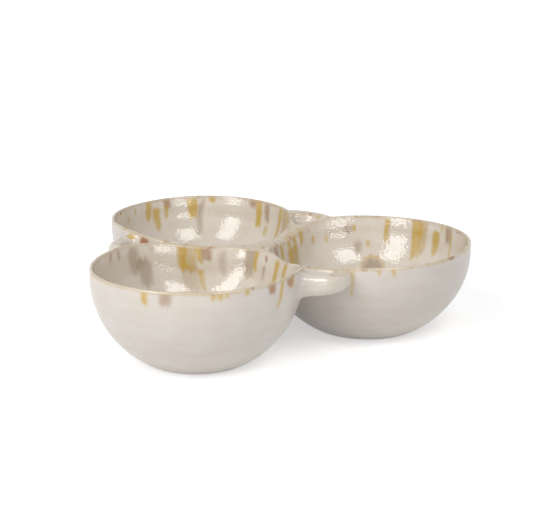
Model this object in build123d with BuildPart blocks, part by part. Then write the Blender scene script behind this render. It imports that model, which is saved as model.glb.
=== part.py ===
from build123d import *
from math import cos, radians, sin, sqrt, tan
import os

# Divided serving bowl: three thrown stoneware bowls pressed together in a triangle and luted with clay,
# with a bowed strap handle bridging each outer notch. Millimetres, +Z up, origin on the table under the
# middle of the whole piece.

# The thrown bowls
bowl_radius = 60.5  # outside, at the widest line
foot_radius = 30.0  # outside of the turned foot
ball_height = 49.5  # widest line above the table
lip_height = 7.0  # upright lip above that line
wall = 3.6  # clay at the lip
floor_height = 7.0  # inside bottom above the table
floor_flattening = 4.5  # the curve up the inside wall is this much tighter than the inside is deep
foot_ring = 5.0  # width of the ring that stands on the table
foot_recess = 2.0  # depth turned out inside that ring
rim_round = 1.6  # rounding of the lip

# Thrown by hand, the right bowl came out wider and lower, and it sits a little off its place
right_growth = 3.0  # its radius over the others'
right_drop = 2.2  # its rim below the others'
right_shift_x = 0.8  # its axis, outwards
right_shift_y = 1.5  # its axis, towards the front

# Where two bowls are pressed together
flat_depth = 2.0  # how far each bowl is flattened
party_wall = 3.0  # clay left between the flat and the inside
corner_round = 5.0  # inside corners beside the flat
saddle_dip = 4.0  # dip of the shared wall below the rims
saddle_inset = 1.8  # the dip starts this far inside the ends of the flat

# Luting clay: slip between two flats, which swells into a web that closes the notch as far as the strap
slip = 0.8  # thickness between the flats
web_depth = 9.0  # height of the web where it leaves the joint
web_drop = 2.2  # its top there, below the rims
web_under = 60.0  # hollow curve of its underside
pocket_depth = 5.5  # lowest place of its dished top, below the top of the strap
pocket_rise = 1.0  # the dish is this much higher again at the strap
pocket_floor = 5.0  # clay under the dish at the strap

# Ball of clay that closes the gap in the middle
plug_shoulder = 9.0  # height of its upright side, above a round underside
plug_drop = 2.5  # crown below the rims
plug_fall = 1.5  # edge below the crown

# Strap handles
handle_width = 10.0  # across the strap, outwards
handle_height = 13.0
handle_drop = 2.0  # top of the strap below the rims
handle_inset = 10.0  # middle of the strap inside the line that touches both bowls
handle_bend = 23.0  # radius of its bow, seen from above
handle_sweep = 75.0  # degrees of bow each side of its middle, before the bowls cut it off

# The ring of bowls, turning from +X towards +Y, and the seam and handle of the notch before each bowl
bowl_names = ["right_bowl", "back_bowl", "front_bowl"]
seam_names = ["front_right_seam", "back_right_seam", "front_back_seam"]
handle_names = ["front_handle", "rear_handle", "left_handle"]

# Sizes that follow
bowl_step = 360 / len(bowl_names)  # degrees from one bowl to the next
next_flat = 90 + bowl_step / 2  # degrees from the bearing of a bowl to its flats
rim_height = ball_height + lip_height
foot_step = bowl_radius - foot_radius
outer_curve = (foot_step**2 + ball_height**2) / (2 * foot_step)  # radius of the outside from the foot up
inside_depth = ball_height - floor_height
side_curve = inside_depth - floor_flattening  # radius of the inside from the wall down to the base
half_spacing = bowl_radius - flat_depth  # half the distance between two bowl axes
flat_distance = half_spacing - slip / 2  # from a bowl's axis to its flat
flat_half = sqrt(bowl_radius**2 - flat_distance**2)  # half the length of a flat
flat_drop = sqrt(outer_curve**2 - (outer_curve - bowl_radius + flat_distance) ** 2)  # its reach down
centre_to_bowl = half_spacing / sin(radians(bowl_step / 2))
centre_to_joint = half_spacing / tan(radians(bowl_step / 2))
reach_right = centre_to_bowl + right_shift_x + right_growth  # to the right bowl's axis and growth
centre_x = (centre_to_joint - reach_right) / 2  # puts the middle of the whole piece over the origin
bowl_radii = [bowl_radius + right_growth] + [bowl_radius] * (len(bowl_names) - 1)
bowl_rims = [rim_height - right_drop] + [rim_height] * (len(bowl_names) - 1)
bowl_shifts = [Vector(right_shift_x, -right_shift_y, 0)] + [Vector(0, 0, 0)] * (len(bowl_names) - 1)
saddle_height = rim_height - saddle_dip  # lowest place of a shared wall's top
plug_radius = centre_to_joint - flat_half  # the plug reaches the slip of each joint
saddle_half = flat_half - saddle_inset
web_top = rim_height - web_drop
web_end = bowl_radius - handle_inset  # middle of the strap, which is cut out of the web
pocket_middle = web_end - handle_width
pocket_bottom = rim_height - handle_drop - pocket_depth
handle_middle = rim_height - handle_drop - handle_height / 2
handle_centre = centre_to_joint + bowl_radius - handle_inset - handle_bend
above = rim_height + wall  # clear above every rim
flat_gap = slip / 2  # from the middle of a joint to each flat
inside_gap = flat_gap + party_wall  # and on to the inside of each wall
touch = 0.01  # tolerance for picking edges
up = Vector(0, 0, 1)


def outward(bearing):
    """Level unit vector at a bearing."""
    return Vector(cos(radians(bearing)), sin(radians(bearing)), 0)


def spot(bearing, distance, height=0.0):
    """Point at a bearing and distance from the middle of the three bowls."""
    return Vector(centre_x, 0, height) + outward(bearing) * distance


def upright(origin, bearing):
    """Vertical drawing plane, with x along the bearing and y up."""
    return Plane(origin=origin, x_dir=outward(bearing), z_dir=outward(bearing).cross(up))


def axis_of(place):
    """Foot of a bowl's axis."""
    return spot(place * bowl_step, centre_to_bowl) + bowl_shifts[place]


def flat_directions(place):
    """Directions from a bowl to its two neighbours."""
    return [outward(place * bowl_step + turn) for turn in (next_flat, -next_flat)]


def saddle_line(rim):
    """Three tangent arcs along the top of a shared wall, from rim level down to the dip and up again."""
    halfway = (rim + saddle_height) / 2
    TangentArc((-saddle_half, rim), (-saddle_half / 2, halfway), tangent=(1, 0))
    ThreePointArc((-saddle_half / 2, halfway), (0, saddle_height), (saddle_half / 2, halfway))
    TangentArc((saddle_half, rim), (saddle_half / 2, halfway), tangent=(-1, 0))


def ball(place, top):
    """Outer form of one bowl up to a height, pressed flat against its neighbours but not hollowed."""
    radius = bowl_radii[place]
    with BuildPart() as form:
        with BuildSketch(upright(axis_of(place), place * bowl_step)):
            with BuildLine():
                Line((0, 0), (foot_radius, 0))
                TangentArc((radius, ball_height), (foot_radius, 0), tangent=(0, -1))
                Line((radius, ball_height), (radius, top))
                Line((radius, top), (0, top))
                Line((0, top), (0, 0))
            make_face()
        revolve(axis=Axis(axis_of(place), up))
        for facing in flat_directions(place):
            split(bisect_by=Plane(spot(0, 0) - facing * flat_gap, z_dir=facing), keep=Keep.BOTTOM)
    return form.part


def hollow(place):
    """Inside of one bowl, kept a wall away from the flats."""
    inner_radius = bowl_radii[place] - wall
    side_centre = inner_radius - side_curve
    base_curve = (side_centre**2 + inside_depth**2 - side_curve**2) / (2 * floor_flattening)  # tangent to it
    base_share = base_curve / (base_curve - side_curve)
    base_end_height = floor_height + base_curve - (base_curve - inside_depth) * base_share
    base_end = (side_centre * base_share, base_end_height)
    with BuildPart() as space:
        with BuildSketch(upright(axis_of(place), place * bowl_step)):
            with BuildLine():
                base = RadiusArc((0, floor_height), base_end, -base_curve)
                TangentArc(base_end, (inner_radius, ball_height), tangent=base % 1)
                Line((inner_radius, ball_height), (inner_radius, above))
                Line((inner_radius, above), (0, above))
                Line((0, above), (0, floor_height))
            make_face()
        revolve(axis=Axis(axis_of(place), up))
        for facing in flat_directions(place):
            split(bisect_by=Plane(spot(0, 0) - facing * inside_gap, z_dir=facing), keep=Keep.BOTTOM)
            faces = space.faces().filter_by(Plane(axis_of(place), z_dir=facing))
            flat = faces.sort_by(Axis(axis_of(place), facing))[-1]
            sides = flat.edges().filter_by(lambda edge: edge.bounding_box().min.Z < rim_height)
            fillet(sides, corner_round)
    return space.part


def lip_edges(body, place):
    """Edges round the top of a bowl, inside and outside, but not along its flats."""
    middle = axis_of(place)

    def radius(point):
        return Vector(point.X - middle.X, point.Y - middle.Y, 0).length

    def on_inside(point):
        gap = min(-(point - spot(0, 0)).dot(facing) for facing in flat_directions(place))
        return radius(point) < bowl_radii[place] - wall + touch and gap > inside_gap - touch

    def on_outside(point):
        return radius(point) > bowl_radii[place] - touch

    chosen = []
    for edge in body.edges():
        if edge.bounding_box().min.Z < saddle_height - touch:
            continue
        points = [edge @ share for share in (0.02, 0.5, 0.98)]
        if all(on_inside(point) for point in points) or on_outside(points[1]):
            chosen.append(edge)
    return chosen


def bowl(place):
    """One bowl: pressed flat against its neighbours, hollowed, with a dip along each shared wall."""
    rim = bowl_rims[place]
    outer, inner = ball(place, rim), hollow(place)
    with BuildPart() as body:
        add(outer)
        add(inner, mode=Mode.SUBTRACT)
        for side, facing in zip((0.5, -0.5), flat_directions(place)):
            joint = spot((place + side) * bowl_step, centre_to_joint) - facing * flat_gap
            with BuildSketch(Plane(joint, x_dir=up.cross(facing), z_dir=facing)):
                with BuildLine():
                    saddle_line(rim)
                    Polyline(
                        (saddle_half, rim),
                        (saddle_half, above),
                        (-saddle_half, above),
                        (-saddle_half, rim),
                    )
                make_face()
            extrude(amount=-party_wall - corner_round, mode=Mode.SUBTRACT)
        with BuildSketch(Plane(axis_of(place))):
            Circle(foot_radius - foot_ring)
        extrude(amount=foot_recess, mode=Mode.SUBTRACT)
        fillet(lip_edges(body, place), rim_round)
    return body.part


def strap(bearing):
    """Bowed strap across a notch, before the bowls cut it off."""
    with BuildPart() as form:
        with BuildLine(Plane(spot(bearing, handle_centre, handle_middle))) as bow:
            CenterArc((0, 0), handle_bend, bearing - handle_sweep, 2 * handle_sweep)
        with BuildSketch(Plane(bow.line @ 0, x_dir=up, z_dir=bow.line % 0)):
            SlotOverall(handle_height, handle_width)
        sweep(path=bow.line)
    return form.part


def handle(bearing, neighbours):
    """Strap between two bowls, cut to fit against their outsides."""
    whole_strap = strap(bearing)
    with BuildPart() as clay:
        add(whole_strap)
        for neighbour in neighbours:
            add(neighbour, mode=Mode.SUBTRACT)
    return clay.part


def web(bearing, neighbours):
    """Clay pressed into the notch outside a joint, with a dished top behind the strap."""
    whole_strap = strap(bearing)
    with BuildPart() as clay:
        with BuildSketch(upright(spot(bearing, centre_to_joint), bearing)):
            dish_end = pocket_bottom + pocket_rise
            with BuildLine():
                Line((saddle_half, web_top - web_depth), (saddle_half, web_top))
                ThreePointArc((saddle_half, web_top), (pocket_middle, pocket_bottom), (web_end, dish_end))
                Line((web_end, dish_end), (web_end, dish_end - pocket_floor))
                RadiusArc((web_end, dish_end - pocket_floor), (saddle_half, web_top - web_depth), -web_under)
            make_face()
        extrude(amount=handle_bend, both=True)
        with BuildSketch(Plane(spot(bearing, handle_centre))):
            Circle(handle_bend)
        extrude(amount=above, mode=Mode.INTERSECT)
        for neighbour in (*neighbours, whole_strap):
            add(neighbour, mode=Mode.SUBTRACT)
    return clay.part


def seam(bearing, neighbours, rim):
    """Slip between two flats, as high as the lower rim, in one piece with the web outside them."""
    notch_clay = web(bearing, neighbours)
    with BuildPart() as clay:
        with BuildSketch(upright(spot(bearing, centre_to_joint), bearing)):
            with BuildLine():
                lowest = ball_height - flat_drop
                ThreePointArc((-flat_half, ball_height), (0, lowest), (flat_half, ball_height))
                Line((flat_half, ball_height), (flat_half, rim - rim_round))
                TangentArc((flat_half, rim - rim_round), (saddle_half, rim), tangent=(0, 1))
                saddle_line(rim)
                Polyline((-saddle_half, rim), (-flat_half, rim), (-flat_half, ball_height))
            make_face()
        extrude(amount=slip / 2, both=True)
        add(notch_clay)
    return clay.part


def plug():
    """Ball of clay in the three-sided gap in the middle, with a crown a little below the rims."""
    crown = rim_height - plug_drop
    with BuildPart() as clay:
        with BuildSketch(upright(spot(0, 0), 0)):
            with BuildLine():
                TangentArc((0, crown), (plug_radius, crown - plug_fall), tangent=(1, 0))
                Line((plug_radius, crown - plug_fall), (plug_radius, rim_height - plug_shoulder))
                TangentArc(
                    (plug_radius, rim_height - plug_shoulder),
                    (0, rim_height - plug_shoulder - plug_radius),
                    tangent=(0, -1),
                )
                Line((0, rim_height - plug_shoulder - plug_radius), (0, crown))
            make_face()
        revolve(axis=Axis(spot(0, 0), up))
        for neighbour in balls:
            add(neighbour, mode=Mode.SUBTRACT)
    return clay.part


places = range(len(bowl_names))
balls = [ball(place, above) for place in places]  # they cut the pieces that sit against the bowls
pieces = {"centre_plug": plug()}
for place in places:
    notch_bearing = (place - 0.5) * bowl_step
    neighbours = (balls[place - 1], balls[place])
    lower_rim = min(bowl_rims[place - 1], bowl_rims[place])
    pieces[bowl_names[place]] = bowl(place)
    pieces[seam_names[place]] = seam(notch_bearing, neighbours, lower_rim)
    pieces[handle_names[place]] = handle(notch_bearing, neighbours)

os.makedirs("parts", exist_ok=True)
for name, piece in pieces.items():
    piece.label = name
    export_step(piece, f"parts/{name}.step")
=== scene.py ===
import math
from collections import namedtuple
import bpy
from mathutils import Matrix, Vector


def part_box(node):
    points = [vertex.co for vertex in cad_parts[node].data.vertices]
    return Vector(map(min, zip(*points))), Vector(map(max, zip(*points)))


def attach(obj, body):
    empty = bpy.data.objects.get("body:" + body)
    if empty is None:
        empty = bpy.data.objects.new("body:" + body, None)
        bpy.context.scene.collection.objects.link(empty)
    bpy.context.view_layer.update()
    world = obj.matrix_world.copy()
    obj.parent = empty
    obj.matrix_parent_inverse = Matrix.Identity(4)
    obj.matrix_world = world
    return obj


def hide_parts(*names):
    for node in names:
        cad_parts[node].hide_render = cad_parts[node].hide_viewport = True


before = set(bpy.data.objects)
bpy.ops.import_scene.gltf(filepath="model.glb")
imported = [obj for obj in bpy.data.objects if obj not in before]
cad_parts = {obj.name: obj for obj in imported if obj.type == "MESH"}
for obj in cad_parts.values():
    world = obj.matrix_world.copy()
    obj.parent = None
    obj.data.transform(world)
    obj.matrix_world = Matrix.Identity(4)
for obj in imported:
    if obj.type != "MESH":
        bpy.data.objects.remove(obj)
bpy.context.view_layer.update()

from types import SimpleNamespace

import bpy
import numpy as np
import openvdb
from bpy.props import FloatProperty, FloatVectorProperty, PointerProperty
from bpy.types import Operator, Panel, PropertyGroup
from mathutils import Vector

bl_info = {
    "name": "Three-Bowl Serving Dish",
    "version": (1, 0, 0),
    "blender": (4, 5, 0),
    "location": "3D View > Sidebar > Dish",
    "description": "Builds a hand-thrown dish of three joined bowls with strap handles and a runny glaze",
    "category": "Object",
}

MM = 0.001
bowl_low, bowl_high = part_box("front_bowl")

# Each bowl is thrown by hand, so each differs a little: bearing from the middle, shift in x and y, extra radius,
# extra rim height, lean of the rim and the bearing it leans up towards, and the phase of its waviness
# (millimetres, degrees, radians for the phase).
Bowl = namedtuple("Bowl", "bearing shift_x shift_y grow lift lean lean_to phase")
BOWLS = {
    "right": Bowl(0, 0.8, -1.5, 3.0, -2.2, 1.8, 20, 0.4),
    "back": Bowl(120, 0.0, 0.0, 0.0, -0.3, 0.4, 100, 1.7),
    "front": Bowl(240, 0.0, 0.0, -0.4, 0.1, 0.6, 20, 0.6),
}
# Each joint: the two bowls it joins, its bearing, the drop of its ridge, the extra dip, where that is deepest
# and how wide, then the drop and tilt of the strap outside it, how far in from the bowls' outsides the strap
# stays, and how deep the pocket behind it is dished (millimetres, degrees).
Joint = namedtuple("Joint", "pair bearing drop dip place width low tilt inset dish")
JOINTS = {
    "back_right": Joint(("back", "right"), 60, 1.2, 6.0, 31, 24, 0.8, 1.2, 11.5, 5.5),
    "front_back": Joint(("front", "back"), 180, 1.6, 4.4, 27, 25, 3.0, 0.0, 8.5, 8.0),
    "front_right": Joint(("front", "right"), 300, 1.8, 4.5, 36, 24, 4.2, 0.0, 11.5, 5.5),
}
HANDLES = {"rear_handle": "back_right", "left_handle": "front_back", "front_handle": "front_right"}

# The form of the clay, in millimetres
FLOOR_FLAT = 4.5  # the side's arc is this much smaller than the hollow is deep, so the floor is flatter
HALF_SLIP = 0.4  # half of the slip between two pressed flats
PARTY_EXTRA = 0.4  # what a shared wall is thicker by on each side, below its flare
OVAL, TREFOIL, RIM_WAVE = 0.3, 0.2, 0.3  # how far a thrown wall and its rim wander
WAVE_FROM, WAVE_TO = 10, 40  # heights between which a wall starts to wander
NEAREST = 10  # how sharply the rim height passes from one bowl to the next
SADDLE_FROM, SADDLE_TO = 4, 22  # distances from a ridge between which its sag fades
LIP_ROUND, RIDGE_ROUND = 1.1, 0.8  # rounding of a lip, and what a ridge adds to it
RIDGE_HALF, RIDGE_WIDER, RIDGE_FADE = 3.5, 8, 5  # half width of a ridge, its widening in the notch, its fade
FLARE_DEPTH, FLARE_SLOPE, FLARE_SOFT = 7, 0.1, 2  # the walls flare a little just below the rim
BOWL_BLEND, HOLLOW_BLEND, WEB_BLEND, PLUG_BLEND = 6.0, 8.0, 5.0, 8.0  # how softly forms run into each other
ROOT_BLEND, ROOT_LEAN = 4.0, 1.5  # a strap's roots, luted on more thickly at the first bowl than at the other
ROOT_REACH, TILT_REACH = 14, 15  # how far off its middle a strap's root and its full tilt are
FOOT_RING, FOOT_RECESS, FOOT_ROUND, TABLE_ROUND = 5, 2, 1.0, 0.8
PLUG_RADIUS, PLUG_FROM = 9, 34
WEB_DROP, WEB_HALF = 2.6, 2.2  # depth of a web's top under the rim, and half its thickness
WEB_FROM, WEB_DEEP = 12, 29  # where along its joint a web starts, and where its dish is deepest
STRAP_SWEEP = math.pi / 3  # a strap bows this far to each side of its joint

# The cuts between the pieces, in millimetres
CUT_CLEAR = 1.4  # cuts stay this far outside the bowls' walls
STRAP_PAST = 1.0  # a handle's cell reaches this far past the bare strap, to take in its blends
PLUG_CUT_RADIUS, PLUG_CUT_FROM = 8.5, 33
SEAM_HALF, SEAM_FROM, SEAM_TO = 1.5, 6, 66
WEB_CUT_FROM, WEB_CUT_PAST = 40, 1
FLANGE, TUCK = 0.7, 0.3  # near its surface a piece runs on past its cut, and dips under its neighbour
MARGIN = 6  # room round a piece's solid in the search for its surface

# Runs of glaze down the bowls: bowl, side, bearing about its axis in degrees, then in mm where the run starts and
# ends below the rim, its width and its drift sideways on the way, and how much ochre, umber and rust it carries.
RUNS = (
    ("back", "in", 133, 0, 13, 4.5, 1, 0.9, 0.3, 0.0), ("back", "in", 127, 8, 21, 4.5, 0, 0.9, 0.3, 0.0),
    ("back", "in", 100, 3, 16, 6.0, -1, 1.0, 0.1, 0.0), ("back", "in", 94, 7, 27, 3.5, 1, 0.0, 0.8, 0.0),
    ("back", "in", 85, 0, 5, 4.5, 0, 0.9, 0.0, 0.2), ("back", "in", 54, -1, 6, 5.5, 0, 0.0, 0.9, 0.5),
    ("back", "in", 49, 0, 19, 4.5, -1, 1.0, 0.2, 0.0), ("back", "in", 41, 0, 14, 4.5, -1, 0.1, 0.9, 0.3),
    ("back", "in", 24, -1, 22, 4.0, 1, 0.9, 0.2, 0.0), ("back", "in", 16, -1, 18, 7.0, 1, 0.4, 0.7, 0.0),
    ("back", "in", 9, -1, 15, 3.4, 1, 0.8, 0.2, 0.0), ("back", "in", 164, 0, 3, 2.5, 1, 0.0, 0.3, 0.9),
    ("back", "in", 118, -1, 7, 4.5, 0, 0.1, 0.9, 0.6), ("back", "in", 119, 6, 14, 2.5, 0, 0.9, 0.0, 0.0),
    ("back", "in", 146, 4, 7, 1.6, 0, 0.8, 0.0, 0.0), ("back", "in", 155, 8, 11, 1.4, 0, 0.8, 0.0, 0.0),
    ("back", "in", 91, 3, 6, 1.2, 0, 0.2, 0.3, 0.5), ("back", "in", 40, 18, 24, 3.0, 0, 0.7, 0.0, 0.0),
    ("back", "in", 200, 0, 5, 2.0, 1, 0.1, 0.2, 0.9), ("back", "in", 290, 0, 16, 4.0, 1, 0.9, 0.2, 0.0),
    ("back", "in", 262, 2, 18, 5.0, 0, 0.2, 0.8, 0.1), ("back", "in", 322, 0, 12, 4.0, 0, 0.9, 0.4, 0.0),
    ("front", "in", 134, 5, 19, 6.0, 1, 0.0, 0.75, 0.0), ("front", "in", 127, 14, 28, 8.0, 0, 0.0, 0.85, 0.0),
    ("front", "in", 146, 3, 7, 1.8, 0, 0.0, 0.6, 0.5), ("front", "in", 153, 2, 6, 1.8, 1, 0.0, 0.6, 0.6),
    ("front", "in", 102, -2, 16, 4.5, 0, 0.9, 0.5, 0.2), ("front", "in", 97, -2, 17, 7.5, 0, 0.5, 0.6, 0.1),
    ("front", "in", 91, -2, 11, 3.0, -1, 0.9, 0.2, 0.0), ("front", "in", 86, -1, 9, 6.5, 0, 0.0, 0.8, 0.5),
    ("front", "in", 97, 18, 34, 9.0, -2, 0.2, 0.4, 0.0), ("front", "in", 90, 16, 30, 3.0, -3, 0.7, 0.1, 0.0),
    ("front", "in", 76, 5, 19, 4.0, -2, 0.1, 0.6, 0.0), ("front", "in", 57, 2, 20, 7.0, 0, 0.1, 0.85, 0.0),
    ("front", "in", 52, 2, 14, 2.6, 0, 0.9, 0.1, 0.0), ("front", "in", 31, 0, 20, 3.6, 1, 0.9, 0.2, 0.0),
    ("front", "in", 21, 0, 14, 3.4, 1, 0.9, 0.2, 0.0), ("front", "in", 43, 3, 6, 2.0, 0, 0.0, 0.3, 0.9),
    ("front", "in", 44, 10, 18, 2.2, 0, 0.0, 0.7, 0.3), ("front", "in", 250, 0, 14, 5.0, 1, 0.9, 0.2, 0.0),
    ("front", "in", 285, 1, 18, 4.0, 0, 0.1, 0.8, 0.1), ("front", "in", 318, 0, 12, 4.0, 0, 0.9, 0.2, 0.1),
    ("front", "out", 245, -1, 8, 3.8, 0, 0.9, 0.1, 0.2), ("front", "out", 256, -1, 8, 6.0, 0, 0.0, 0.9, 0.3),
    ("front", "out", 280, -1, 4.5, 2.8, 0, 0.9, 0.0, 0.1), ("front", "out", 284, -1, 4.5, 2.8, 0, 0.9, 0.0, 0.1),
    ("front", "out", 287, -1, 4, 2.0, 0, 0.9, 0.0, 0.1), ("front", "out", 298, -1, 4, 2.8, 0, 0.8, 0.0, 0.2),
    ("front", "out", 313, -1, 6.5, 4.2, 1, 0.3, 1.0, 0.7), ("front", "out", 328, -1, 6.5, 5.4, 1, 0.4, 1.0, 0.7),
    ("front", "out", 332, 2, 8, 1.8, 0, 0.9, 0.0, 0.0), ("front", "out", 322, 1, 14, 2.6, -4, 0.9, 0.1, 0.0),
    ("right", "in", 95, 8, 13, 4.5, 0, 0.0, 0.8, 0.0), ("right", "in", 89, 19, 24, 4.5, 0, 0.1, 0.8, 0.0),
    ("right", "in", 91, 7, 10, 2.0, 0, 0.8, 0.0, 0.0), ("right", "in", 82, 17, 20, 2.2, 0, 0.8, 0.0, 0.0),
    ("right", "in", 78, 33, 47, 13.0, 0, 0.7, 0.0, 0.0), ("right", "in", 78, 34, 46, 11.5, 0, -0.6, 0.95, 0.0),
    ("right", "in", 70, 3, 16, 3.0, 0, 0.9, 0.2, 0.0), ("right", "in", 50, 2, 25, 6.0, -1, 0.9, 0.3, 0.0),
    ("right", "in", 45, 2, 21, 5.0, -1, 0.5, 0.5, 0.0), ("right", "in", 34, 8, 20, 5.0, 0, 0.9, 0.2, 0.0),
    ("right", "in", 24, 0, 11, 5.5, -1, 0.0, 0.9, 0.4), ("right", "in", 20, 5, 18, 2.0, -1, 0.8, 0.2, 0.0),
    ("right", "in", 30, 1, 5, 2.0, 0, 0.8, 0.0, 0.0), ("right", "in", 15, -1, 2, 2.0, 0, 0.0, 0.3, 1.0),
    ("right", "in", 52, -1, 1, 2.0, 0, 0.0, 0.9, 0.9), ("right", "in", 147, -2, 12, 3.6, -1, 0.9, 0.3, 0.0),
    ("right", "in", 140, -2, 11, 3.6, -1, 0.9, 0.3, 0.0), ("right", "in", 132, -2, 10, 3.4, -1, 0.9, 0.2, 0.0),
    ("right", "in", 147, 11, 28, 4.6, 0, 0.9, 0.4, 0.0), ("right", "in", 141, 11, 26, 6.5, 0, 0.5, 0.7, 0.0),
    ("right", "in", 166, -2, 13, 5.5, 0, 0.1, 0.8, 0.3), ("right", "in", 158, -2, 15, 3.6, 0, 0.9, 0.3, 0.0),
    ("right", "in", 120, 10, 13, 2.2, 0, 0.8, 0.0, 0.0), ("right", "in", 110, 12, 15, 2.4, 0, 0.7, 0.0, 0.0),
    ("right", "in", 215, 0, 15, 4.0, 0, 0.9, 0.2, 0.0), ("right", "in", 290, 1, 16, 5.0, 0, 0.2, 0.8, 0.1),
    ("right", "in", 330, 0, 13, 4.0, 0, 0.9, 0.2, 0.0), ("right", "out", 271, -1, 4, 2.4, 0, 0.8, 0.0, 0.0),
    ("right", "out", 278, -1, 5, 2.4, 1, 0.8, 0.0, 0.0), ("right", "out", 330, 0, 3, 1.8, 0, 0.8, 0.1, 0.0),
    ("right", "out", 263, -1, 2, 4.0, 0, 0.2, 0.2, 1.0), ("right", "out", 258, 1, 15, 1.6, -2, 0.7, 0.3, 0.0),
    ("right", "out", 50, 0, 6, 4.0, 0, 0.9, 0.2, 0.1), ("right", "out", 20, 0, 5, 5.0, 0, 0.1, 0.9, 0.2),
    ("right", "out", 85, 0, 8, 3.0, 1, 0.9, 0.1, 0.0), ("back", "out", 60, 0, 6, 5.0, 0, 0.1, 0.9, 0.2),
    ("back", "out", 95, 0, 7, 3.5, 0, 0.9, 0.1, 0.1), ("back", "out", 140, 0, 4, 3.0, 0, 0.9, 0.1, 0.1),
    ("back", "out", 125, 0, 10, 2.6, 2, 0.9, 0.1, 0.0), ("back", "out", 172, 0, 5, 5.0, 0, 0.1, 0.9, 0.3),
    ("back", "out", 195, 0, 3, 2.4, 0, 0.9, 0.1, 0.2), ("front", "out", 200, 0, 4, 3.0, 0, 0.9, 0.1, 0.1),
)
RUN_SOFTNESS = (1.5, 2.6, 1.3)  # how soft the edge of the ochre, umber and rust is, in millimetres
# Touches of glaze on the straps and beside them: place from the middle outwards along the joint's bearing,
# across it and up, then how far it spreads, and how much ochre, umber and rust it carries (millimetres).
TOUCHES = {
    "front_right": (
        (79, 13, 51, 4.2, 1.0, 0.1, 0.0), (76, -15, 50, 3.2, 0.2, 0.7, 0.3), (82, 6, 52, 2.6, 0.6, 0.0, 0.0),
        (70, 14, 52, 3.4, 0.6, 0.4, 0.0), (64, -9, 53, 3.4, 0.3, 0.6, 0.3)),
    "front_back": (
        (78, -14, 53, 5.0, 1.0, 0.0, 0.0), (81, 14, 52, 5.0, 1.0, 0.1, 0.0), (68, -11, 50, 6.0, 0.2, 0.3, 1.0),
        (70, 8, 52, 3.4, 0.1, 0.6, 0.3)),
    "back_right": (
        (80, -5, 53, 4.2, 0.9, 0.1, 0.0), (77, -13, 54, 4.2, 0.9, 0.1, 0.0), (82, 6, 55, 4.0, 0.3, 0.7, 0.2),
        (64, 6, 53, 3.4, 0.1, 0.4, 0.9)),
}
CURL_SHADE_AT, CURL_SHADE_TURN = 66, 3.4  # middle of the painted shade lines at a ridge's end, and radians of their wave to a mm
BELLY_WAY = 56  # radius of the way a run takes below the belly, in millimetres

# The glaze's surface
PEEL_BOWL, PEEL_STRAP = 1.4, 1.8  # width of an orange-peel dimple in millimetres
PEEL_DEPTH, LINE_DEPTH = 0.0001, 0.00006  # depth of the dimples and of the throwing lines, in metres
THROWING_LINE = 0.0036  # from one throwing line to the next, in metres
SATIN, GLASSY, BARE = 0.34, 0.03, 0.5  # roughness outside and inside, and what bare clay adds
GLAZE_IOR = 1.65  # a fired glaze is about 1.5, and a rich one like this reflects a little more
COVER = 0.92  # how far a run hides the coat under it

# The stage: each lamp's name, bearing off the camera's side, angle above the table, width, height and watts
LAMPS = (
    ("softbox_right", 30, 50, 0.38, 0.42, 2.4),
    ("strip_right", 27, 8, 0.38, 0.13, 0.65),
    ("softbox_left", -47, 31, 0.37, 0.84, 4.8),
)
LAMP_AIM, LAMP_AWAY = Vector((0, 0, 0.04)), 0.9
CAMERA_AIM, CAMERA_AWAY, CAMERA_BEARING, CAMERA_ANGLE = Vector((-0.01173, 0, 0.0405)), 0.698, -1.35, 15.44
FOCAL_PIXELS, PICTURE_PIXELS, SENSOR = 1125, 533, 36
SKY_LIGHT = 0.38


def srgb(code):
    """Linear colour of an sRGB hex code."""
    parts = [int(code[i:i + 2], 16) / 255 for i in (0, 2, 4)]
    return tuple(c / 12.92 if c <= 0.04045 else ((c + 0.055) / 1.055) ** 2.4 for c in parts)


def length(name, description, default):
    return FloatProperty(name=name, description=description, default=default, min=0.0, unit="LENGTH")


def colour(name, description, code):
    return FloatVectorProperty(name=name, description=description, default=srgb(code), size=3, subtype="COLOR",
                               min=0.0, max=1.0)


class DishSizes(PropertyGroup):
    """Sizes of the dish."""

    bowl_radius: length("Bowl radius", "Outside radius of a bowl at its widest", (bowl_high.x - bowl_low.x) / 2)
    rim_height: length("Rim height", "Height of the rim above the table", bowl_high.z)
    belly_height: length("Belly height", "Height of the widest line of a bowl", 0.0495)
    foot_radius: length("Foot radius", "Outside radius of the turned foot ring", 0.030)
    wall: length("Wall", "Thickness of a bowl's wall", 0.0033)
    floor_height: length("Floor height", "Height of the inside floor above the table", 0.007)
    flat_depth: length("Flat depth", "How far two bowls are pressed into each other, each", 0.002)
    party_wall: length("Shared wall", "Thickness each bowl gives to the wall between two", 0.003)
    strap_width: length("Strap width", "Thickness of a handle strap", 0.0095)
    strap_height: length("Strap height", "Height of a handle strap", 0.0112)
    strap_bend: length("Strap bend", "Radius of the bow of a strap", 0.020)
    bowl_grain: length("Bowl grain", "Spacing of the points on the bowls", 0.0008)
    fine_grain: length("Fine grain", "Spacing of the points on handles, seams and plug", 0.0005)


class GlazeColours(PropertyGroup):
    """Colours of the glaze."""

    outside: colour("Outside", "Satin glaze outside", "D0C9C2")
    # glossy thick glaze inside, painted lighter than the outside as a painted lift of the shade that falls in the
    # hollows
    inside: colour("Inside", "Glossy glaze inside, where it lies thicker", "D8CFC3")
    ochre: colour("Ochre", "Thick runs of the second glaze", "C2A24C")
    umber: colour("Umber", "Thin runs where iron shows through", "9C876D")
    rust: colour("Rust", "Iron that breaks through at edges", "9E6638")
    lip: colour("Lip", "Thin glaze on the rims", "C0AF94")
    clay: colour("Clay", "Bare fired clay of the foot rings", "C3AE94")


# Signed distances


def soft_min(a, b, k):
    """The smaller of two distances, with the corner between them filled over a width k."""
    h = np.clip(0.5 + 0.5 * (b - a) / k, 0, 1)
    return b + (a - b) * h - k * h * (1 - h)


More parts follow.
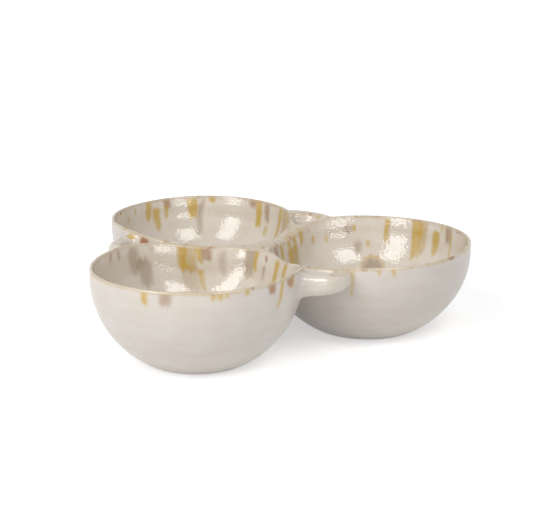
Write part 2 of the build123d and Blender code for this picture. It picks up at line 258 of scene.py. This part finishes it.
def round_max(a, b, r):
    """The larger of two distances, with the edge between them rounded to radius r."""
    return np.minimum(np.maximum(a, b), -r) + np.hypot(np.maximum(a + r, 0), np.maximum(b + r, 0))


def ease(low, high, t):
    """Rises smoothly from 0 at low to 1 at high."""
    t = np.clip((t - low) / (high - low), 0, 1)
    return t * t * (3 - 2 * t)


def turned(bearing, x, y):
    """Distances along a bearing in degrees and across it."""
    c, s = math.cos(math.radians(bearing)), math.sin(math.radians(bearing))
    return x * c + y * s, y * c - x * s


class Form:
    """The soft clay body as signed distances in millimetres, negative in the clay, and the cells that part it."""

    def __init__(self, sizes):
        self.radius = sizes.bowl_radius / MM
        self.rim = sizes.rim_height / MM
        self.belly = sizes.belly_height / MM
        self.foot = sizes.foot_radius / MM
        self.floor = sizes.floor_height / MM
        self.strap_width = sizes.strap_width / MM
        self.strap_height = sizes.strap_height / MM
        self.strap_bend = sizes.strap_bend / MM
        half = self.radius - sizes.flat_depth / MM
        self.to_bowl = 2 * half / math.sqrt(3)
        self.to_joint = half / math.sqrt(3)
        self.middle = (bowl_low.x + bowl_high.x) / 2 / MM + self.to_joint
        self.curve = ((self.radius - self.foot) ** 2 + self.belly**2) / (2 * (self.radius - self.foot))
        self.hollow_radius = self.radius - sizes.wall / MM
        depth = self.belly - self.floor
        self.side = depth - FLOOR_FLAT
        self.side_in = self.hollow_radius - self.side
        self.base = (self.side_in**2 + depth**2 - self.side**2) / (2 * FLOOR_FLAT)
        self.flat_in = half - HALF_SLIP - sizes.party_wall / MM

    def hollow(self, r, z):
        """Positive inside the hollow of a bowl: a rounded side that runs into a flatter floor."""
        low = z - self.floor - self.base
        side = self.side - np.hypot(r - self.side_in, z - self.belly)
        base = self.base - np.hypot(r, low)
        on_side = r * (self.floor + self.base - self.belly) + low * self.side_in > 0
        return np.where(z > self.belly, self.hollow_radius - r, np.where(on_side, side, base))

    def measure(self, x, y, z):
        """The body, the height of its rim, and the cells of its pieces at points."""
        m = SimpleNamespace(bowls={}, seams={}, handles={}, sides={})
        ex, ey = x - self.middle, y
        weights = rims = 0.0
        for name, made in BOWLS.items():
            b = math.radians(made.bearing)
            dx = ex - made.shift_x - self.to_bowl * math.cos(b)
            dy = ey - made.shift_y - self.to_bowl * math.sin(b)
            r = np.hypot(dx, dy)
            turn = np.arctan2(dy, dx)
            wave = OVAL * np.cos(2 * turn + made.phase) + TREFOIL * np.cos(3 * turn + 2 * made.phase)
            even = r * (self.radius / (self.radius + made.grow)) - wave * ease(WAVE_FROM, WAVE_TO, z)
            m.bowls[name] = SimpleNamespace(dx=dx, dy=dy, r=r, turn=turn, even=even, upright=even - self.radius)
            weight = (self.radius / np.maximum(r, 1)) ** NEAREST
            lean = made.lean * np.cos(turn - math.radians(made.lean_to))
            weights = weights + weight
            rims = rims + weight * (self.rim + made.lift + lean + RIM_WAVE * np.cos(3 * turn + made.phase))
        rim = rims / weights
        lip = LIP_ROUND
        for joint in JOINTS.values():
            along, across = turned(joint.bearing, ex, ey)
            beside = np.abs(across)
            sag = joint.drop + joint.dip * np.exp(-(((along - joint.place) / joint.width) ** 2))
            rim = rim - sag * ease(-12, 2, along) * (1 - ease(SADDLE_FROM, SADDLE_TO, beside))
            # a ridge widens where it runs out into the notch
            wide = RIDGE_HALF + RIDGE_WIDER * ease(46, 60, along)
            ridge = RIDGE_ROUND * (1 - ease(wide, wide + RIDGE_FADE, beside))
            lip = lip + ridge * ease(4, 14, along) * (1 - ease(60, 72, along))
        rise = z - rim + FLARE_DEPTH
        flare = FLARE_SLOPE * (rise + np.hypot(rise, FLARE_SOFT))
        outer = hollow = foot = None
        for name, bowl in m.bowls.items():
            bowl.out = np.hypot(np.maximum(bowl.even - self.radius + self.curve, 0),
                                np.minimum(z - self.belly, 0)) - self.curve
            bowl.hole = self.hollow(bowl.even, z) + flare
            for side in (150, 210):
                pressed, _ = turned(BOWLS[name].bearing + side, bowl.dx, bowl.dy)
                bowl.hole = soft_min(bowl.hole, self.flat_in - PARTY_EXTRA + flare - pressed, HOLLOW_BLEND)
            recess = np.maximum(bowl.r - (self.foot - FOOT_RING), z - FOOT_RECESS)
            outer = bowl.out if outer is None else soft_min(outer, bowl.out, BOWL_BLEND)
            hollow = bowl.hole if hollow is None else np.maximum(hollow, bowl.hole)
            foot = recess if foot is None else np.minimum(foot, recess)
        body = outer
        m.plug = np.maximum(np.hypot(ex, ey) - PLUG_CUT_RADIUS, PLUG_CUT_FROM - z)
        for name, joint in JOINTS.items():
            along, across = turned(joint.bearing, ex, ey)
            # the web of clay in the notch, dished behind the strap
            out = along - self.to_joint
            bow = out - (self.radius - joint.inset - self.strap_bend)
            disc = np.hypot(bow, across) - self.strap_bend
            top = self.rim - WEB_DROP - joint.dish * ease(WEB_FROM, WEB_DEEP, out)
            web = np.maximum(np.abs(z - top + WEB_HALF) - WEB_HALF, np.maximum(WEB_FROM - out, disc))
            body = soft_min(body, web, WEB_BLEND)
            # the strap, a rounded band bent in a bow
            phi = np.clip(np.arctan2(across, bow), -STRAP_SWEEP, STRAP_SWEEP)
            off = np.hypot(bow * np.cos(phi) + across * np.sin(phi) - self.strap_bend,
                           across * np.cos(phi) - bow * np.sin(phi))
            level = z - (self.rim - joint.low - self.strap_height / 2)
            level = level - joint.tilt * np.clip(across / TILT_REACH, -1, 1)
            flank = np.maximum(np.abs(level) - (self.strap_height - self.strap_width) / 2, 0)
            strap = np.hypot(off, flank) - self.strap_width / 2
            body = soft_min(body, strap, ROOT_BLEND - ROOT_LEAN * np.clip(across / ROOT_REACH, -1, 1))
            # the cells of this joint's handle and seam
            first, second = (m.bowls[bowl].upright for bowl in joint.pair)
            clear = CUT_CLEAR - np.minimum(first, second)
            m.handles[name] = np.maximum(strap - STRAP_PAST, clear)
            slab = np.maximum(np.abs(across) - SEAM_HALF, np.maximum(SEAM_FROM - along, along - SEAM_TO))
            wedge = np.maximum(clear, np.maximum(WEB_CUT_FROM - along, disc - WEB_CUT_PAST))
            m.seams[name] = np.maximum(np.minimum(slab, wedge), np.maximum(-m.plug, -m.handles[name]))
            m.sides[name] = across
        body = soft_min(body, np.maximum(np.hypot(ex, ey) - PLUG_RADIUS, PLUG_FROM - z), PLUG_BLEND)
        body = np.maximum(body, hollow)
        body = round_max(body, z - rim, lip)
        body = round_max(body, -foot, FOOT_ROUND)
        m.body = round_max(body, -z, TABLE_ROUND)
        m.rim = rim
        return m

    def bowl_cell(self, name, m):
        """The clay nearest one bowl, less the plug and the seams and handles beside it."""
        cell = -m.plug
        for key, joint in JOINTS.items():
            if name in joint.pair:
                sign = math.copysign(1, math.sin(math.radians(BOWLS[name].bearing - joint.bearing)))
                cell = np.maximum(cell, np.maximum(-sign * m.sides[key], -m.handles[key]))
                cell = np.maximum(cell, -m.seams[key])
        return cell


# Meshes


def slopes(sample, points, h=0.02):
    """Values and gradients of a sampled distance, or of several, at points."""
    values = sample(points)
    grads = np.empty(values.shape + (3,))
    for axis in range(3):
        offset = np.zeros(3)
        offset[axis] = h
        grads[..., axis] = (sample(points + offset) - sample(points - offset)) / (2 * h)
    return values, grads


def settle(points, sample, grain):
    """Moves points onto the surface, and points near an edge onto both the body and the cut."""
    edge = None
    for _ in range(4):
        values, grads = slopes(sample, points)
        if edge is None:
            edge = np.abs(values[:, 0] - values[:, 1]) < 0.5 * grain
        larger = values.argmax(1)
        rows = np.arange(len(points))
        value, grad = values[rows, larger], grads[rows, larger]
        move = -(value / np.maximum((grad**2).sum(1), 0.05))[:, None] * grad
        a, c = (grads[edge, 0] ** 2).sum(1), (grads[edge, 1] ** 2).sum(1)
        b = (grads[edge, 0] * grads[edge, 1]).sum(1)
        det = np.maximum(a * c - b * b, 0.05 * a * c + 1e-9)
        u = (values[edge, 1] * b - values[edge, 0] * c) / det
        v = (values[edge, 0] * b - values[edge, 1] * a) / det
        move[edge] = u[:, None] * grads[edge, 0] + v[:, None] * grads[edge, 1]
        far = np.linalg.norm(move, axis=1, keepdims=True)
        points = points + move * np.minimum(1, 0.7 * grain / np.maximum(far, 1e-9))
    return points


def largest(points, quads):
    """Keeps the largest connected part of a mesh."""
    label = np.arange(len(points))
    a, b = quads.ravel(), np.roll(quads, 1, axis=1).ravel()
    while (label[a] != label[b]).any():
        parent = np.arange(len(points))
        np.minimum.at(parent, label[a], label[b])
        np.minimum.at(parent, label[b], label[a])
        while (parent != parent[parent]).any():
            parent = parent[parent]
        label = parent[label]
    quads = quads[label[quads[:, 0]] == np.bincount(label[quads[:, 0]]).argmax()]
    used, index = np.unique(quads, return_inverse=True)
    return points[used], index.reshape(quads.shape)


def clay_piece(name, form, cell, low, high, grain):
    """Meshes the part of the body that lies in one cell."""
    def part(m):
        # so that no gap shows between pieces, they overlap a little near the surface
        edge = cell(m)
        return np.stack([m.body + TUCK * np.maximum(edge, 0), edge - FLANGE * ease(-2.0, -0.8, m.body)], -1)

    def sample(p):
        return part(form.measure(p[:, 0], p[:, 1], p[:, 2]))

    start = np.array(low) - 3 * grain
    count = np.ceil((np.array(high) - np.array(low)) / grain).astype(int) + 7
    axes = [(start[i] + grain * np.arange(count[i])).astype(np.float32) for i in range(3)]
    values = np.empty(count, np.float32)
    for i in range(0, count[0], 16):
        m = form.measure(*np.meshgrid(axes[0][i:i + 16], axes[1], axes[2], indexing="ij"))
        values[i:i + 16] = part(m).max(-1)
    grid = openvdb.FloatGrid(3 * grain)
    grid.copyFromArray(values)
    points, quads = grid.convertToQuads(isovalue=0.0)
    if len(quads) == 0:
        raise RuntimeError(f"{name} came out empty")
    points, quads = largest(points, quads)
    points = settle(start + grain * points.astype(float), sample, grain)
    corners = points[quads]
    facing = np.cross(corners[:, 2] - corners[:, 0], corners[:, 3] - corners[:, 1])
    if (facing * corners.mean(1)).sum() < 0:
        quads = quads[:, ::-1]
    middles = sample(corners.mean(1))
    outside = middles[:, 0] >= middles[:, 1]
    normals = slopes(lambda p: form.measure(p[:, 0], p[:, 1], p[:, 2]).body, points)[1]
    normals = normals / np.maximum(np.linalg.norm(normals, axis=1, keepdims=True), 1e-9)

    mesh = bpy.data.meshes.new(name)
    mesh.from_pydata((points * MM).tolist(), [], quads.tolist())
    mesh.polygons.foreach_set("use_smooth", outside)
    mesh.update()
    # the glazed faces take the body's own slope, so that pieces meet without a visible line
    mesh.normals_split_custom_set(np.where(outside[:, None, None], normals[quads], 0).reshape(-1, 3).tolist())
    return mesh, points


# Glaze


def paint(mesh, form, points):
    """Stores where the glaze runs and how it lies, point by point."""
    x, y, z = points.T
    m = form.measure(x, y, z)
    # runs hold ochre, umber and rust; zones hold the glossy inside, the rim and the bare foot
    runs = np.zeros((len(points), 4))
    zones = np.zeros((len(points), 4))
    lay = {}
    for name, bowl in m.bowls.items():
        inside = ease(-0.8, 1.0, bowl.hole - bowl.out)
        zones[:, 0] = np.maximum(zones[:, 0], inside)
        lay[name, "in"] = inside
        lay[name, "out"] = ease(-2.4, -0.8, bowl.out) * (1 - ease(2, 4, bowl.out)) * (1 - inside)
    for name, side, bearing, first, last, width, drift, *amounts in RUNS:
        bowl = m.bowls[name]
        # the way down from the rim, round the belly below it
        drop = np.where(z > form.belly, m.rim - z,
                        m.rim - form.belly + BELLY_WAY * np.arctan2(form.belly - z, bowl.r))
        share = np.clip((drop - first) / (last - first), 0, 1)
        turn = (bowl.turn - math.radians(bearing) + math.pi) % (2 * math.pi) - math.pi
        across = turn * bowl.r - drift * share + 0.3 * np.sin(0.35 * drop + bearing)
        # a run is ragged at both ends and thins a little towards its tail
        comb = 0.6 * np.sin(1.3 * across + bearing) + 0.4 * np.sin(3.1 * across + 2.3 * bearing)
        fall = last - first
        over = np.maximum(first + 0.08 * fall * comb - drop, drop - last + width / 2 - 0.1 * fall * comb)
        edge = np.hypot(across, np.maximum(over, 0)) - width * (0.62 - 0.12 * share)
        for i, (amount, soft) in enumerate(zip(amounts, RUN_SOFTNESS)):
            runs[:, i] += amount * (1 - 0.15 * share) * (1 - ease(-soft, soft, edge)) * lay[name, side]
    for key, touches in TOUCHES.items():
        along, across = turned(JOINTS[key].bearing, x - form.middle, y)
        for out, beside, up, spread, *amounts in touches:
            far = np.sqrt((along - out) ** 2 + (across - beside) ** 2 * 1.6 + (z - up) ** 2)
            runs[:, :3] += np.outer(1 - ease(0.4 * spread, spread, far), amounts)
        # painted shade: fine dark lines at the end of each ridge, where the rim curls down into the pocket, stand
        # in for the shading of that curl
        ring = np.hypot(along - CURL_SHADE_AT, across)
        lines = (0.5 + 0.5 * np.sin(CURL_SHADE_TURN * ring)) * ease(5, 8, ring) * (1 - ease(14, 19, ring))
        lines = lines * (along < CURL_SHADE_AT) * ease(-8, -4, z - m.rim)
        runs[:, 0] += 0.2 * lines
        runs[:, 1] += 0.25 * lines
        for cell in (m.handles[key], m.seams[key]):
            zones[:, 0] = np.maximum(zones[:, 0], (1 - ease(-1, 1, cell)) * 0.9)
    zones[:, 1] = ease(-2.2, -1.0, z - m.rim)
    zones[:, 0] = np.maximum(zones[:, 0], zones[:, 1])
    zones[:, 2] = 1 - ease(0.3, 1.2, z)
    runs[:, 3] = zones[:, 3] = 1
    for name, values in (("runs", np.clip(runs, 0, 1)), ("zones", zones)):
        layer = mesh.attributes.new(name, "FLOAT_COLOR", "POINT")
        layer.data.foreach_set("color", values.ravel())


def add(tree, kind, inputs=None, **settings):
    """Adds a node with its settings, and sets or links its inputs."""
    node = tree.nodes.new(kind)
    for key, value in settings.items():
        setattr(node, key, value)
    for key, value in (inputs or {}).items():
        if isinstance(value, bpy.types.NodeSocket):
            tree.links.new(value, node.inputs[key])
        else:
            node.inputs[key].default_value = value
    return node


def glaze(name, colours, peel):
    """Runny reactive glaze on dipped and fired stoneware.

    The pale coat lies thick and glassy inside, thin and satin outside, so the eye gets soft-edged highlights
    with an orange-peel texture, warm runs, and a darker line where the glaze drains off the rim.
    """
    material = bpy.data.materials.new(name)
    material.use_nodes = True
    tree = material.node_tree
    tree.nodes.clear()
    where = add(tree, "ShaderNodeTexCoord").outputs["Object"]
    stored = {}
    for layer in ("zones", "runs"):
        values = add(tree, "ShaderNodeAttribute", attribute_name=layer)
        stored[layer] = add(tree, "ShaderNodeSeparateColor", {"Color": values.outputs["Color"]}).outputs
    inside, rim, foot = (stored["zones"][channel] for channel in ("Red", "Green", "Blue"))

    # noises: width of a feature in millimetres, detail, and how far it is squeezed up and down
    noise = {}
    for key, size, detail, squeeze in (("clouds", 14, 3, 1), ("threads", 1.5, 3, 1 / 5), ("specks", 0.9, 2, 1),
                                       ("bands", 45, 3, 9), ("iron", 7, 2, 1), ("peel", peel, 0, 1)):
        spot = add(tree, "ShaderNodeMapping", {"Vector": where, "Scale": (1, 1, squeeze)})
        noise[key] = add(tree, "ShaderNodeTexNoise", {
            "Vector": spot.outputs["Vector"], "Scale": 1 / (size * MM), "Detail": detail}).outputs[0]

    # layers of colour, from the bottom up: first clouds, bands and specks of iron in the coat
    layers = []
    for key, low, high, most, code in (("clouds", 0.35, 0.75, 0.25, colours.lip),
                                       ("bands", 0.4, 0.7, 0.1, colours.umber),
                                       ("specks", 0.55, 0.8, 0.16, colours.umber)):
        patch = add(tree, "ShaderNodeMapRange", {
            "Value": noise[key], "From Min": low, "From Max": high, "To Min": 0.0, "To Max": most})
        layers.append((patch.outputs["Result"], code))
    # the runs, ragged at the edge
    for channel, low, high, thin, code in (("Green", 0.05, 1.05, 0.86, colours.umber),
                                           ("Red", 0.08, 0.85, 0.7, colours.ochre),
                                           ("Blue", 0.1, 0.9, 0.8, colours.rust)):
        ragged = add(tree, "ShaderNodeMapRange", {
            "Value": noise["threads"], "From Min": 0.3, "From Max": 0.7, "To Min": thin, "To Max": 1.95 - thin})
        run = add(tree, "ShaderNodeMath", {
            0: stored["runs"][channel], 1: ragged.outputs["Result"]}, operation="MULTIPLY")
        patch = add(tree, "ShaderNodeMapRange", {
            "Value": run.outputs[0], "From Min": low, "From Max": high, "To Min": 0.0, "To Max": COVER})
        layers.append((patch.outputs["Result"], code))
    # the rim, where the glaze drains thin and iron breaks through, and the bare foot
    for key, low, high, least, most, code in (("clouds", 0.4, 0.6, 0.6, 1.0, colours.lip),
                                              ("iron", 0.6, 0.7, 0.0, 0.7, colours.rust)):
        patch = add(tree, "ShaderNodeMapRange", {
            "Value": noise[key], "From Min": low, "From Max": high, "To Min": least, "To Max": most})
        thin = add(tree, "ShaderNodeMath", {0: rim, 1: patch.outputs["Result"]}, operation="MULTIPLY")
        layers.append((thin.outputs[0], code))
    layers.append((foot, colours.clay))
    tint = (*colours.outside, 1)
    # the inside colour goes down first; it is partly painted light, lighter than the outside to lift the shade in
    # the hollows
    for factor, code in ((inside, colours.inside), *layers):
        tint = add(tree, "ShaderNodeMix", {"Factor": factor, 6: tint, 7: (*code, 1)}, data_type="RGBA").outputs[2]

    # satin outside with throwing lines, glassy inside with orange peel
    rough = add(tree, "ShaderNodeMapRange", {"Value": inside, "To Min": SATIN, "To Max": GLASSY})
    rough = add(tree, "ShaderNodeMath", {0: foot, 1: BARE, 2: rough.outputs["Result"]}, operation="MULTIPLY_ADD")
    dimpled = add(tree, "ShaderNodeMapRange", {"Value": inside, "To Min": 0.25, "To Max": 1.0})
    lined = add(tree, "ShaderNodeMapRange", {"Value": inside, "To Min": 0.25, "To Max": 0.0})
    lines = add(tree, "ShaderNodeTexWave", {
        "Vector": where, "Scale": math.pi / (10 * THROWING_LINE), "Distortion": 4.0, "Detail": 2.0,
        "Detail Scale": 0.6}, bands_direction="Z")
    bump = add(tree, "ShaderNodeBump", {
        "Height": noise["peel"], "Strength": dimpled.outputs["Result"], "Distance": PEEL_DEPTH})
    bump = add(tree, "ShaderNodeBump", {
        "Height": lines.outputs["Fac"], "Strength": lined.outputs["Result"], "Distance": LINE_DEPTH,
        "Normal": bump.outputs["Normal"]})
    shader = add(tree, "ShaderNodeBsdfPrincipled", {
        "Base Color": tint, "Roughness": rough.outputs[0], "IOR": GLAZE_IOR, "Normal": bump.outputs["Normal"]})
    add(tree, "ShaderNodeOutputMaterial", {"Surface": shader.outputs["BSDF"]})
    return material


# Operators


def build(form, node, cell, grain, material):
    """Meshes, paints and places one piece."""
    low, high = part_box(node)
    mesh, points = clay_piece(f"{node}_clay", form, cell, [v / MM - MARGIN for v in low],
                              [v / MM + MARGIN for v in high], grain / MM)
    paint(mesh, form, points)
    mesh.materials.append(material)
    piece = bpy.data.objects.new(mesh.name, mesh)
    bpy.context.scene.collection.objects.link(piece)
    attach(piece, "root")
    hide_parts(node)


class DISH_OT_bowls(Operator):
    """Build the three thrown bowls."""

    bl_idname = "dish.bowls"
    bl_label = "Bowls"

    def execute(self, context):
        sizes = context.scene.dish_sizes
        form = Form(sizes)
        material = glaze("stoneware_dipped_reactive_glaze", context.scene.dish_glaze, PEEL_BOWL)
        for name in BOWLS:
            build(form, f"{name}_bowl", lambda m: form.bowl_cell(name, m), sizes.bowl_grain,
                  material)
        return {"FINISHED"}


class DISH_OT_handles(Operator):
    """Build the three strap handles."""

    bl_idname = "dish.handles"
    bl_label = "Handles"

    def execute(self, context):
        sizes = context.scene.dish_sizes
        form = Form(sizes)
        material = glaze("stoneware_pulled_strap_glaze", context.scene.dish_glaze, PEEL_STRAP)
        for node, key in HANDLES.items():
            build(form, node, lambda m: m.handles[key], sizes.fine_grain, material)
        return {"FINISHED"}


class DISH_OT_joints(Operator):
    """Build the luted seams and the plug in the middle."""

    bl_idname = "dish.joints"
    bl_label = "Seams and plug"

    def execute(self, context):
        sizes = context.scene.dish_sizes
        form = Form(sizes)
        material = glaze("stoneware_luting_slip_glaze", context.scene.dish_glaze, PEEL_BOWL)
        for key in JOINTS:
            build(form, f"{key}_seam", lambda m: m.seams[key], sizes.fine_grain, material)
        build(form, "centre_plug", lambda m: m.plug, sizes.fine_grain, material)
        return {"FINISHED"}


def towards(bearing, angle):
    """A direction by its bearing off the camera's side and its angle above the table, in degrees."""
    b, a = math.radians(bearing), math.radians(angle)
    return Vector((math.sin(b) * math.cos(a), -math.cos(b) * math.cos(a), math.sin(a)))


def stand(name, data, aim, away, distance):
    """Places a lamp or a camera so that it faces a point from a direction."""
    thing = bpy.data.objects.new(name, data)
    thing.location = aim + away * distance
    thing.rotation_euler = away.to_track_quat("Z", "Y").to_euler()
    bpy.context.scene.collection.objects.link(thing)
    return thing


def seen(tree):
    """One for what the camera sees directly, in a reflection or through glass, and zero for light."""
    path = add(tree, "ShaderNodeLightPath").outputs
    shown = path["Is Camera Ray"]
    for ray in ("Is Glossy Ray", "Is Transmission Ray"):
        shown = add(tree, "ShaderNodeMath", {0: shown, 1: path[ray]}, operation="MAXIMUM").outputs[0]
    return shown


class DISH_OT_stage(Operator):
    """Set up the floor, the light and the camera."""

    bl_idname = "dish.stage"
    bl_label = "Stage"

    def execute(self, context):
        scene = context.scene
        scene.view_settings.view_transform = "Standard"
        world = bpy.data.worlds.new("studio")
        scene.world = world
        world.use_nodes = True
        tree = world.node_tree
        tree.nodes.clear()
        level = add(tree, "ShaderNodeMapRange", {"Value": seen(tree), "To Min": SKY_LIGHT, "To Max": 1.0})
        sky = add(tree, "ShaderNodeBackground", {"Color": (1, 1, 1, 1), "Strength": level.outputs["Result"]})
        add(tree, "ShaderNodeOutputWorld", {"Surface": sky.outputs["Background"]})

        # pressed paper, rolled out flat: no gloss at all, so the eye gets only the dish's soft shadow on it,
        # and a glow that grows outwards keeps it as white as the background
        mesh = bpy.data.meshes.new("studio_floor")
        mesh.from_pydata([(-9, -9, 0), (9, -9, 0), (9, 9, 0), (-9, 9, 0)], [], [(0, 1, 2, 3)])
        floor = bpy.data.objects.new("studio_floor", mesh)
        scene.collection.objects.link(floor)
        paper = bpy.data.materials.new("matt_white_paper_sweep")
        paper.use_nodes = True
        tree = paper.node_tree
        tree.nodes.clear()
        matt = add(tree, "ShaderNodeBsdfDiffuse", {"Color": (0.8, 0.8, 0.8, 1)})
        where = add(tree, "ShaderNodeTexCoord").outputs["Object"]
        spread = add(tree, "ShaderNodeVectorMath", {0: where}, operation="LENGTH")
        level = add(tree, "ShaderNodeMapRange", {
            "Value": spread.outputs["Value"], "From Min": 0.15, "From Max": 0.9, "To Min": 0.5, "To Max": 1.0})
        glow = add(tree, "ShaderNodeMath", {0: seen(tree), 1: level.outputs["Result"]}, operation="MULTIPLY")
        lift = add(tree, "ShaderNodeEmission", {"Strength": glow.outputs[0]})
        both = add(tree, "ShaderNodeAddShader", {0: matt.outputs["BSDF"], 1: lift.outputs["Emission"]})
        add(tree, "ShaderNodeOutputMaterial", {"Surface": both.outputs["Shader"]})
        mesh.materials.append(paper)

        for name, bearing, angle, width, tall, watts in LAMPS:
            lamp = bpy.data.lights.new(name, "AREA")
            lamp.shape = "RECTANGLE"
            lamp.size, lamp.size_y, lamp.energy = width, tall, watts
            stand(name, lamp, LAMP_AIM, towards(bearing, angle), LAMP_AWAY)
        lens = bpy.data.cameras.new("camera")
        lens.lens = FOCAL_PIXELS * SENSOR / PICTURE_PIXELS
        scene.camera = stand("camera", lens, CAMERA_AIM, towards(CAMERA_BEARING, CAMERA_ANGLE), CAMERA_AWAY)
        return {"FINISHED"}


class DISH_PT_panel(Panel):
    """Sizes, colours and build steps of the dish."""

    bl_label = "Serving dish"
    bl_idname = "DISH_PT_panel"
    bl_space_type = "VIEW_3D"
    bl_region_type = "UI"
    bl_category = "Dish"

    def draw(self, context):
        for group in (context.scene.dish_sizes, context.scene.dish_glaze):
            for key in group.__annotations__:
                self.layout.prop(group, key)
        for operator in STEPS:
            self.layout.operator(operator.bl_idname)


STEPS = (DISH_OT_bowls, DISH_OT_handles, DISH_OT_joints, DISH_OT_stage)
CLASSES = (DishSizes, GlazeColours, *STEPS, DISH_PT_panel)


def register():
    for cls in CLASSES:
        bpy.utils.register_class(cls)
    bpy.types.Scene.dish_sizes = PointerProperty(type=DishSizes)
    bpy.types.Scene.dish_glaze = PointerProperty(type=GlazeColours)


def unregister():
    del bpy.types.Scene.dish_glaze
    del bpy.types.Scene.dish_sizes
    for cls in reversed(CLASSES):
        bpy.utils.unregister_class(cls)


def main():
    register()
    bpy.ops.dish.bowls()
    bpy.ops.dish.handles()
    bpy.ops.dish.joints()
    bpy.ops.dish.stage()


if __name__ == "__main__":
    main()
